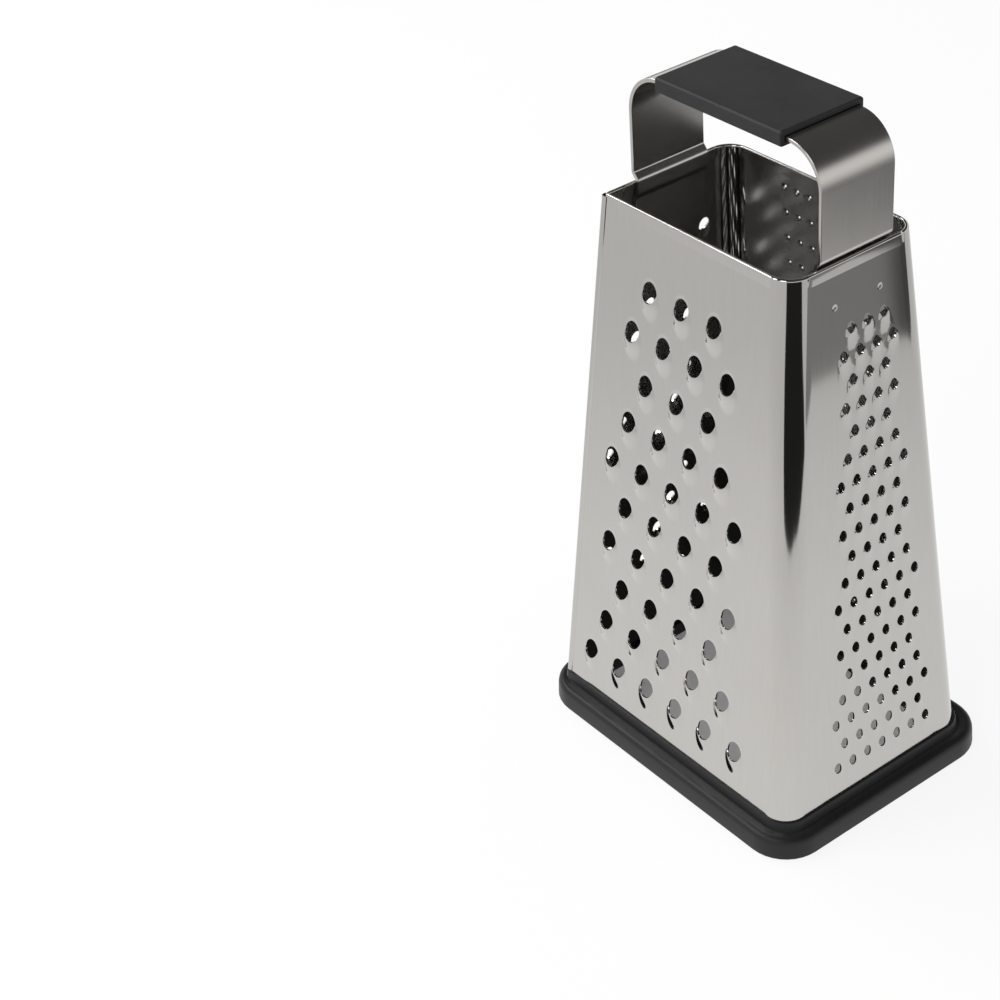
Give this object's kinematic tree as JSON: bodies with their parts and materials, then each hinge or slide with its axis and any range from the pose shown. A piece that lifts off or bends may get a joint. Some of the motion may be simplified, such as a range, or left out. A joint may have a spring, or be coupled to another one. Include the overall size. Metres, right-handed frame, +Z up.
{
  "type": "box grater",
  "caption": "Four-sided stainless box grater with coarse, medium, fine and zesting teeth, a bent strap handle with a moulded grip and a soft non-slip foot ring.",
  "frame": {"origin": "on the table, under the middle of the foot ring's footprint", "axes": "+Z up along the grater to the handle, X along the wide sides, Y along the narrow sides; the coarse side faces -Y and the fine side +X"},
  "size_m": [0.1102, 0.0856, 0.2104],
  "materials": {
    "body_steel": "satin, rolled sheet",
    "strap_steel": "satin, brushed along the strip",
    "grip_plastic": "fine matt texture",
    "ring_rubber": "matt, slightly soft"
  },
  "bodies": {
    "root": {"grater_body": "body_steel", "handle_strap": "strap_steel", "handle_grip": "grip_plastic", "base_ring": "ring_rubber"}
  },
  "joints": []
}
